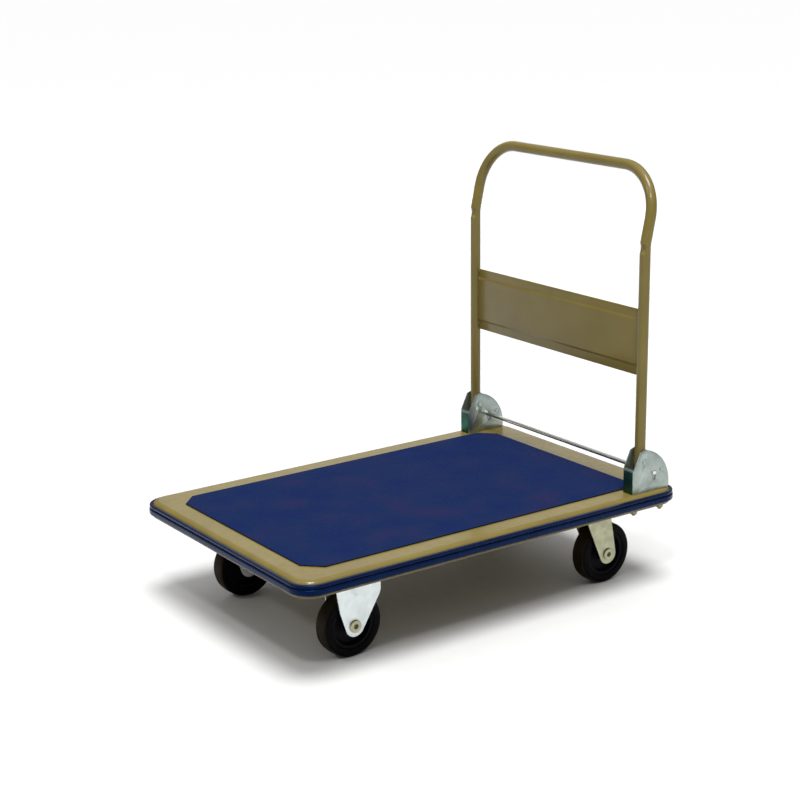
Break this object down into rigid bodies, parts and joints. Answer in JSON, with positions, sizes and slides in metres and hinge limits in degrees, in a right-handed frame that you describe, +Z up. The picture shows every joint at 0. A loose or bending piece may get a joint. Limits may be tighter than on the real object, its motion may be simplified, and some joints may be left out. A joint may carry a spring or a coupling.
{
  "type": "platform trolley",
  "caption": "Folding-handle platform trolley: flat steel deck with a blue non-slip mat and edge bumper on fixed and swivel castors, with a foot-released lock bar.",
  "frame": {"origin": "on the floor, at the middle of the trolley's bounding box seen from above", "axes": "+X along the deck towards the push handle, +Y across the deck to the right of the person who pushes, +Z up"},
  "size_m": [0.93, 0.614, 0.8808],
  "materials": {
    "khaki_enamel": "gloss khaki-beige stoved enamel on steel",
    "mat_vinyl": "navy blue vinyl with a fine raised non-slip pattern",
    "bumper_pvc": "dark blue extruded soft PVC",
    "tyre_rubber": "solid black rubber",
    "wheel_nylon": "moulded black plastic",
    "plug_plastic": "moulded black plastic",
    "bright_steel": "bright drawn steel",
    "bush_steel": "turned steel",
    "castor_zinc": "pressed steel, bright zinc plated",
    "bracket_zinc": "pressed steel, bluish zinc plated",
    "fastener_zinc": "zinc plated steel"
  },
  "bodies": {
    "deck": {"deck_mat": "mat_vinyl", "deck_pan": "khaki_enamel", "edge_bumper": "bumper_pvc", "front_cross_channel": "khaki_enamel", "front_left_axle_bolt": "fastener_zinc", "front_left_axle_nut": "fastener_zinc", "front_left_fork": "castor_zinc", "front_left_wheel_bush": "bush_steel", "front_right_axle_bolt": "fastener_zinc", "front_right_axle_nut": "fastener_zinc", "front_right_fork": "castor_zinc", "front_right_wheel_bush": "bush_steel", "left_bracket_bolt_front": "fastener_zinc", "left_bracket_bolt_rear": "fastener_zinc", "left_bracket_nut_front": "fastener_zinc", "left_bracket_nut_rear": "fastener_zinc", "left_deck_rib": "khaki_enamel", "left_handle_bracket": "bracket_zinc", "left_lock_spring": "bright_steel", "left_pivot_pin": "fastener_zinc", "left_spring_pin": "fastener_zinc", "rear_cross_channel": "khaki_enamel", "rear_left_ball_race": "castor_zinc", "rear_left_kingpin": "castor_zinc", "rear_left_top_plate": "castor_zinc", "rear_right_ball_race": "castor_zinc", "rear_right_kingpin": "castor_zinc", "rear_right_top_plate": "castor_zinc", "right_bracket_bolt_front": "fastener_zinc", "right_bracket_bolt_rear": "fastener_zinc", "right_bracket_nut_front": "fastener_zinc", "right_bracket_nut_rear": "fastener_zinc", "right_deck_rib": "khaki_enamel", "right_handle_bracket": "bracket_zinc", "right_lock_spring": "bright_steel", "right_pivot_pin": "fastener_zinc", "right_spring_pin": "fastener_zinc"},
    "handle": {"handle_tube": "khaki_enamel", "handle_panel": "khaki_enamel", "left_foot_plug": "plug_plastic", "right_foot_plug": "plug_plastic"},
    "lock_bar": {"lock_bar": "bright_steel", "left_bar_clip": "fastener_zinc", "right_bar_clip": "fastener_zinc"},
    "front_left_wheel": {"front_left_tyre": "tyre_rubber", "front_left_wheel_centre": "wheel_nylon"},
    "front_right_wheel": {"front_right_tyre": "tyre_rubber", "front_right_wheel_centre": "wheel_nylon"},
    "rear_left_wheel": {"rear_left_tyre": "tyre_rubber", "rear_left_wheel_centre": "wheel_nylon"},
    "rear_right_wheel": {"rear_right_tyre": "tyre_rubber", "rear_right_wheel_centre": "wheel_nylon"},
    "rear_left_swivel": {"rear_left_fork": "castor_zinc", "rear_left_axle_bolt": "fastener_zinc", "rear_left_axle_nut": "fastener_zinc", "rear_left_wheel_bush": "bush_steel"},
    "rear_right_swivel": {"rear_right_fork": "castor_zinc", "rear_right_axle_bolt": "fastener_zinc", "rear_right_axle_nut": "fastener_zinc", "rear_right_wheel_bush": "bush_steel"}
  },
  "joints": [
    {"name": "handle_fold", "type": "hinge", "parent": "deck", "child": "handle", "pos_m": [0.374, 0, 0.278], "axis": [0, -1, 0], "range_deg": [0, 90]},
    {"name": "lock_bar_press", "type": "slide", "parent": "deck", "child": "lock_bar", "axis": [0, 0, -1], "range_m": [0, 0.011], "stiffness_N_per_m": 600, "springref_m": -0.006, "deforming": ["left_lock_spring", "right_lock_spring"]},
    {"name": "rear_left_swivel", "type": "hinge", "parent": "deck", "child": "rear_left_swivel", "pos_m": [0.303, -0.1935, 0.16], "axis": [0, 0, 1], "continuous": true},
    {"name": "rear_right_swivel", "type": "hinge", "parent": "deck", "child": "rear_right_swivel", "pos_m": [0.303, 0.1935, 0.16], "axis": [0, 0, 1], "continuous": true},
    {"name": "front_left_roll", "type": "hinge", "parent": "deck", "child": "front_left_wheel", "pos_m": [-0.293, -0.1935, 0.065], "axis": [0, 1, 0], "continuous": true},
    {"name": "front_right_roll", "type": "hinge", "parent": "deck", "child": "front_right_wheel", "pos_m": [-0.293, 0.1935, 0.065], "axis": [0, 1, 0], "continuous": true},
    {"name": "rear_left_roll", "type": "hinge", "parent": "rear_left_swivel", "child": "rear_left_wheel", "pos_m": [0.343, -0.1935, 0.065], "axis": [0, 1, 0], "continuous": true},
    {"name": "rear_right_roll", "type": "hinge", "parent": "rear_right_swivel", "child": "rear_right_wheel", "pos_m": [0.343, 0.1935, 0.065], "axis": [0, 1, 0], "continuous": true}
  ]
}
